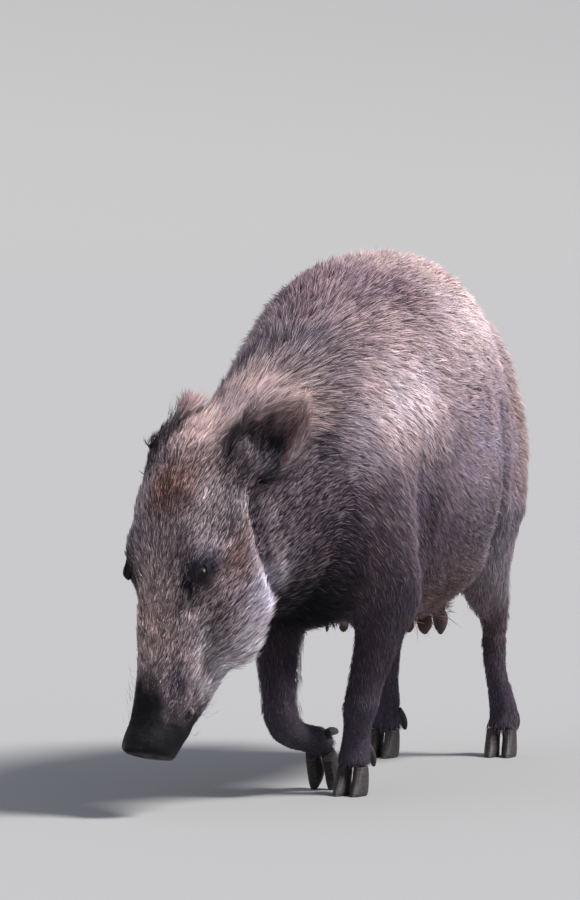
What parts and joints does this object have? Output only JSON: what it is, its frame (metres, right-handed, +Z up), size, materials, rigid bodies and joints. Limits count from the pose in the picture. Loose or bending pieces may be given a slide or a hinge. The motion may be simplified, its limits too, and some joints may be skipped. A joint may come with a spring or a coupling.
{
  "type": "wild boar",
  "caption": "Life-size still model of a wild boar sow nosing at the ground with her head turned, one forefoot folded back, standing on her own hooves.",
  "frame": {"origin": "on the floor, under the middle of the whole sow's box", "axes": "+Z up, -Y the way the trunk faces, +X the sow's left side"},
  "size_m": [0.3766, 1.1284, 0.7531],
  "materials": {
    "coat": "short coarse bristles, grizzled brown over dark blue-grey skin",
    "dark_coat": "short near-black bristles",
    "bare_skin": "bare wrinkled dark grey skin, slightly moist",
    "horn": "dull near-black horn with fine growth rings",
    "eye": "wet dark brown eye",
    "ivory": "smooth ivory, worn at the tip"
  },
  "bodies": {
    "root": {"dewclaw_fore_left_left": "horn", "dewclaw_fore_left_right": "horn", "dewclaw_fore_right_left": "horn", "dewclaw_fore_right_right": "horn", "dewclaw_hind_left_left": "horn", "dewclaw_hind_left_right": "horn", "dewclaw_hind_right_left": "horn", "dewclaw_hind_right_right": "horn", "ear_left": "coat", "ear_right": "coat", "eye_left": "eye", "eye_right": "eye", "foreleg_left_lower": "dark_coat", "foreleg_left_upper": "coat", "foreleg_right_lower": "dark_coat", "foreleg_right_upper": "coat", "head": "coat", "hindleg_left_lower": "dark_coat", "hindleg_left_upper": "coat", "hindleg_right_lower": "dark_coat", "hindleg_right_upper": "coat", "hoof_fore_left_left": "horn", "hoof_fore_left_right": "horn", "hoof_fore_right_left": "horn", "hoof_fore_right_right": "horn", "hoof_hind_left_left": "horn", "hoof_hind_left_right": "horn", "hoof_hind_right_left": "horn", "hoof_hind_right_right": "horn", "lower_jaw": "coat", "neck": "coat", "snout": "bare_skin", "tail": "dark_coat", "trunk": "coat", "tusk_left": "ivory", "tusk_right": "ivory"}
  },
  "joints": []
}
